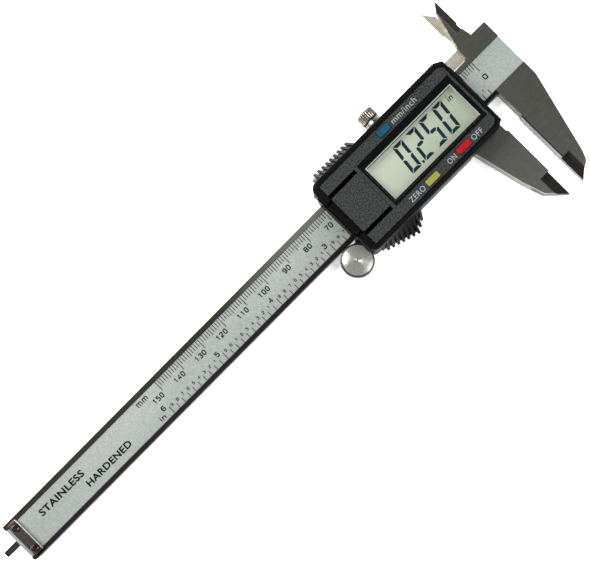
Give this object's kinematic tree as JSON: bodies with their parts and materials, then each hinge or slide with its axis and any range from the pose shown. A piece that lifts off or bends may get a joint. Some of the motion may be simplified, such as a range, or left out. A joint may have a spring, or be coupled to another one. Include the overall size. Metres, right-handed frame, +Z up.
{
  "type": "digital caliper",
  "caption": "Digital caliper with a steel beam, outside and inside jaws, a sliding display head, a thumb wheel, a lock screw and a depth rod, left-handed layout.",
  "frame": {"origin": "bottom centre of the box of the whole tool, jaws open by 6.35 mm, lying on the back of its slider", "axes": "+X along the beam towards the jaws, +Y towards the inside jaws, +Z up out of the display"},
  "size_m": [0.2394, 0.0778, 0.0153],
  "materials": {
    "steel": "satin brushed",
    "moving_steel": "satin brushed",
    "label": "satin printed film",
    "board": "glass-fibre board with a solder mask",
    "brass": "satin",
    "black_plastic": "smooth moulded",
    "panel": "fine moulded grain",
    "bezel": "polished",
    "window": "clear",
    "display": "reflective liquid crystal cell",
    "rubber": "matt",
    "chrome": "bright",
    "chip": "matt",
    "blue": "satin",
    "yellow": "satin",
    "red": "satin"
  },
  "bodies": {
    "beam": {"beam": "steel", "stator_board": "board", "scale_label": "label", "stop_plate": "steel", "stop_plate_screw_1": "steel", "stop_plate_screw_2": "steel"},
    "slider": {"slider_frame": "moving_steel", "gib_strip": "brass", "gib_screw_1": "steel", "gib_screw_2": "steel", "depth_rod": "steel", "depth_rod_screw": "steel", "wheel_bracket": "steel", "wheel_bracket_screw_1": "steel", "wheel_bracket_screw_2": "steel", "wheel_axle": "steel", "housing": "black_plastic", "face_panel": "panel", "battery": "chrome", "battery_contact_minus": "brass", "battery_contact_plus": "brass", "display_bezel": "bezel", "display_window": "window", "display_cell": "display", "display_holder": "black_plastic", "contact_strip_upper": "rubber", "contact_strip_lower": "rubber", "main_board": "board", "controller_chip": "chip", "clock_crystal": "chrome", "switch_mm_inch": "chip", "switch_zero": "chip", "switch_on_off": "chip", "housing_screw_1": "steel", "housing_screw_2": "steel", "housing_screw_3": "steel", "housing_screw_4": "steel"},
    "thumb_wheel": {"thumb_wheel": "steel"},
    "lock_screw": {"lock_screw": "chrome"},
    "button_mm_inch": {"button_mm_inch": "blue"},
    "button_zero": {"button_zero": "yellow"},
    "button_on_off": {"button_on_off": "red"},
    "battery_door": {"battery_door": "panel"}
  },
  "joints": [
    {"name": "slider_travel", "type": "slide", "parent": "beam", "child": "slider", "axis": [-1, 0, 0], "range_m": [-0.00635, 0.14365]},
    {"name": "wheel_spin", "type": "hinge", "parent": "slider", "child": "thumb_wheel", "pos_m": [0.03347, -0.0044, 0.004], "axis": [0, 0, 1], "continuous": true},
    {"name": "lock_turn", "type": "hinge", "parent": "slider", "child": "lock_screw", "pos_m": [0.06997, 0.0275, 0.00365], "axis": [0, 1, 0], "range_deg": [-360, 90]},
    {"name": "button_mm_inch_press", "type": "slide", "parent": "slider", "child": "button_mm_inch", "axis": [0, 0, -1], "range_m": [0, 0.0006], "stiffness_N_per_m": 400},
    {"name": "button_zero_press", "type": "slide", "parent": "slider", "child": "button_zero", "axis": [0, 0, -1], "range_m": [0, 0.0006], "stiffness_N_per_m": 400},
    {"name": "button_on_off_press", "type": "slide", "parent": "slider", "child": "button_on_off", "axis": [0, 0, -1], "range_m": [0, 0.0006], "stiffness_N_per_m": 400},
    {"name": "battery_door_slide", "type": "slide", "parent": "slider", "child": "battery_door", "axis": [-1, 0, 0], "range_m": [0, 0.014]}
  ],
  "couplings": [
    {"joint": "wheel_spin", "follows": "slider_travel", "rad_per_m": -172.41}
  ]
}
